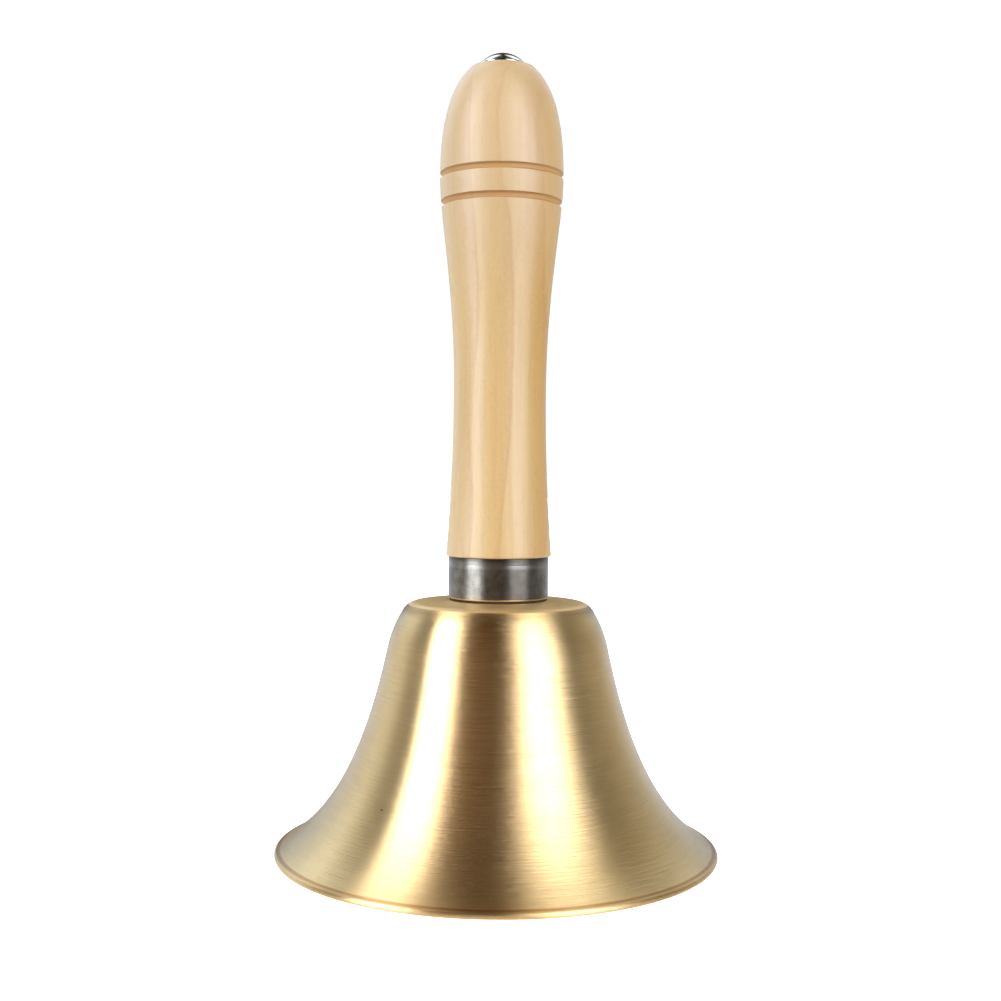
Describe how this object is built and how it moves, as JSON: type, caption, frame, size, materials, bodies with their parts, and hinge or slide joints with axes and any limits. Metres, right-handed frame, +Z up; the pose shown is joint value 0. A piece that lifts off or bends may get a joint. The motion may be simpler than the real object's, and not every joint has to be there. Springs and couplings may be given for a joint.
{
  "type": "handbell",
  "caption": "Brass bell with a flared mouth on a turned wooden handle; a steel ferrule joins them and a clapper swings inside.",
  "frame": {"origin": "centre of the bell's mouth plane, the plane of the flat land on the rim bead", "axes": "+Z up the bell's axis from the mouth to the domed bolt head at the top of the handle; +X along the clapper's pin at rest; +Y completes a right-handed frame, and the clapper swings in the YZ plane at rest"},
  "size_m": [0.08, 0.08, 0.1442],
  "materials": {
    "bell_brass": "satin, brushed round the axis",
    "ball_brass": "turned, slightly dull",
    "seat_leather": "dark, compressed",
    "ferrule_steel": "turned, dark satin",
    "handle_wood": "pale close-grained wood under satin lacquer",
    "bolt_chrome": "polished",
    "zinc_steel": "zinc plated",
    "yoke_steel": "pressed, satin",
    "rod_steel": "drawn, satin"
  },
  "bodies": {
    "bell": {"bell_shell": "bell_brass", "seat_washer": "seat_leather", "ferrule": "ferrule_steel", "handle": "handle_wood", "tie_bolt": "bolt_chrome", "crown_washer": "zinc_steel", "lock_washer": "zinc_steel", "clamp_nut": "zinc_steel", "keeper_nut": "zinc_steel"},
    "hanger": {"yoke": "yoke_steel", "pivot_pin": "yoke_steel", "pin_spacers": "yoke_steel"},
    "clapper": {"clapper_rod": "rod_steel", "clapper_ball": "ball_brass", "clapper_lock_nut": "zinc_steel"}
  },
  "joints": [
    {"name": "yoke_swivel", "type": "hinge", "parent": "bell", "child": "hanger", "pos_m": [0, 0, 0.03725], "axis": [0, 0, 1], "continuous": true},
    {"name": "clapper_swing", "type": "hinge", "parent": "hanger", "child": "clapper", "pos_m": [0, 0, 0.0294], "axis": [1, 0, 0], "range_deg": [-55.5, 55.5]}
  ]
}
